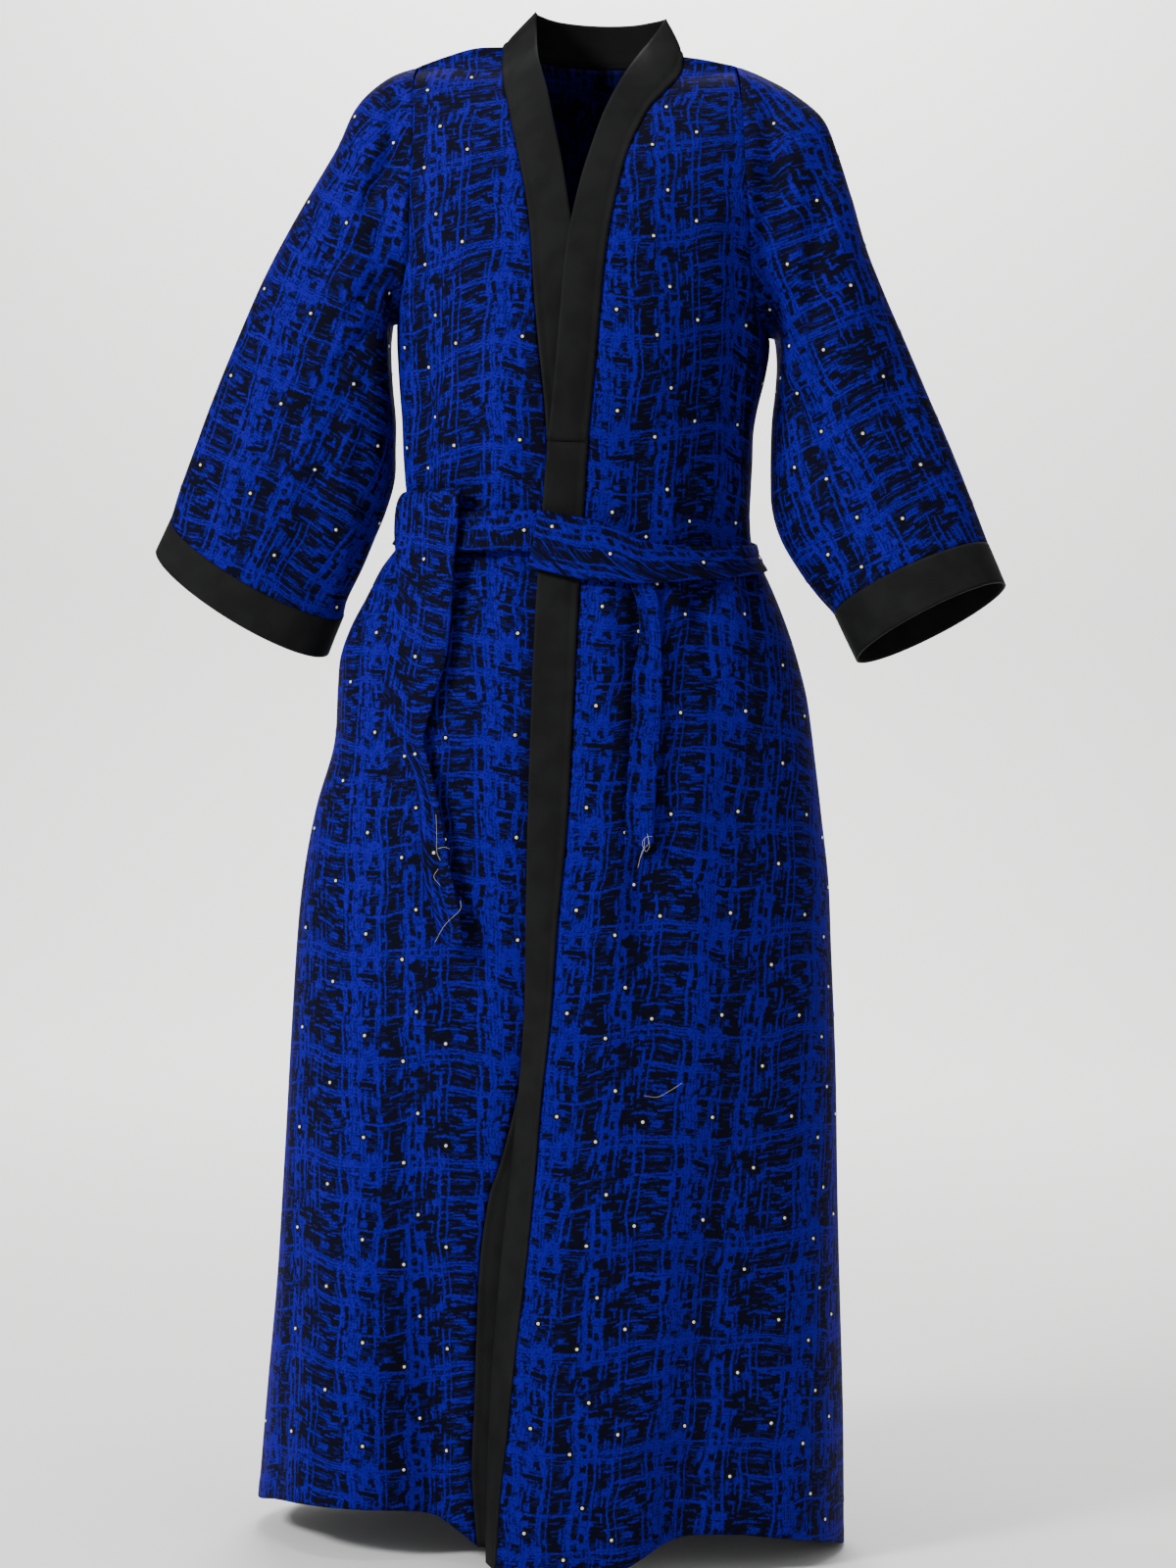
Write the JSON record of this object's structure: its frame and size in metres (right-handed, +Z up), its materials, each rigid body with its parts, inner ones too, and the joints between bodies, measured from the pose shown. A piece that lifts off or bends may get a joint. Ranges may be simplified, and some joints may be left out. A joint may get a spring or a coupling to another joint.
{
  "type": "kimono-style robe",
  "caption": "Long open robe in east asian style, of blue and black printed cloth with a plain black neckband, wide sleeves with black cuffs and a tied cloth belt, in its worn form.",
  "frame": {"origin": "the middle of the neck at the height of the two high points of the shoulder seams, where the wearer's shoulders carry the robe", "axes": "+Z up along the body, -Y out of the front of the robe, +X towards the wearer's left"},
  "size_m": [0.756, 0.3326, 1.357],
  "materials": {
    "print_cloth": "matt printed weave, blue brushed cross-hatch on near black, with small white studs",
    "black_band": "matt plain weave"
  },
  "bodies": {
    "root": {"back": "print_cloth", "front_right": "print_cloth", "front_left": "print_cloth", "sleeve_right": "print_cloth", "sleeve_left": "print_cloth", "cuff_right": "black_band", "cuff_left": "black_band", "band_neck": "black_band", "band_lower_left": "black_band", "band_lower_right": "black_band", "belt": "print_cloth", "belt_tail_right": "print_cloth", "belt_tail_left": "print_cloth"}
  },
  "joints": []
}
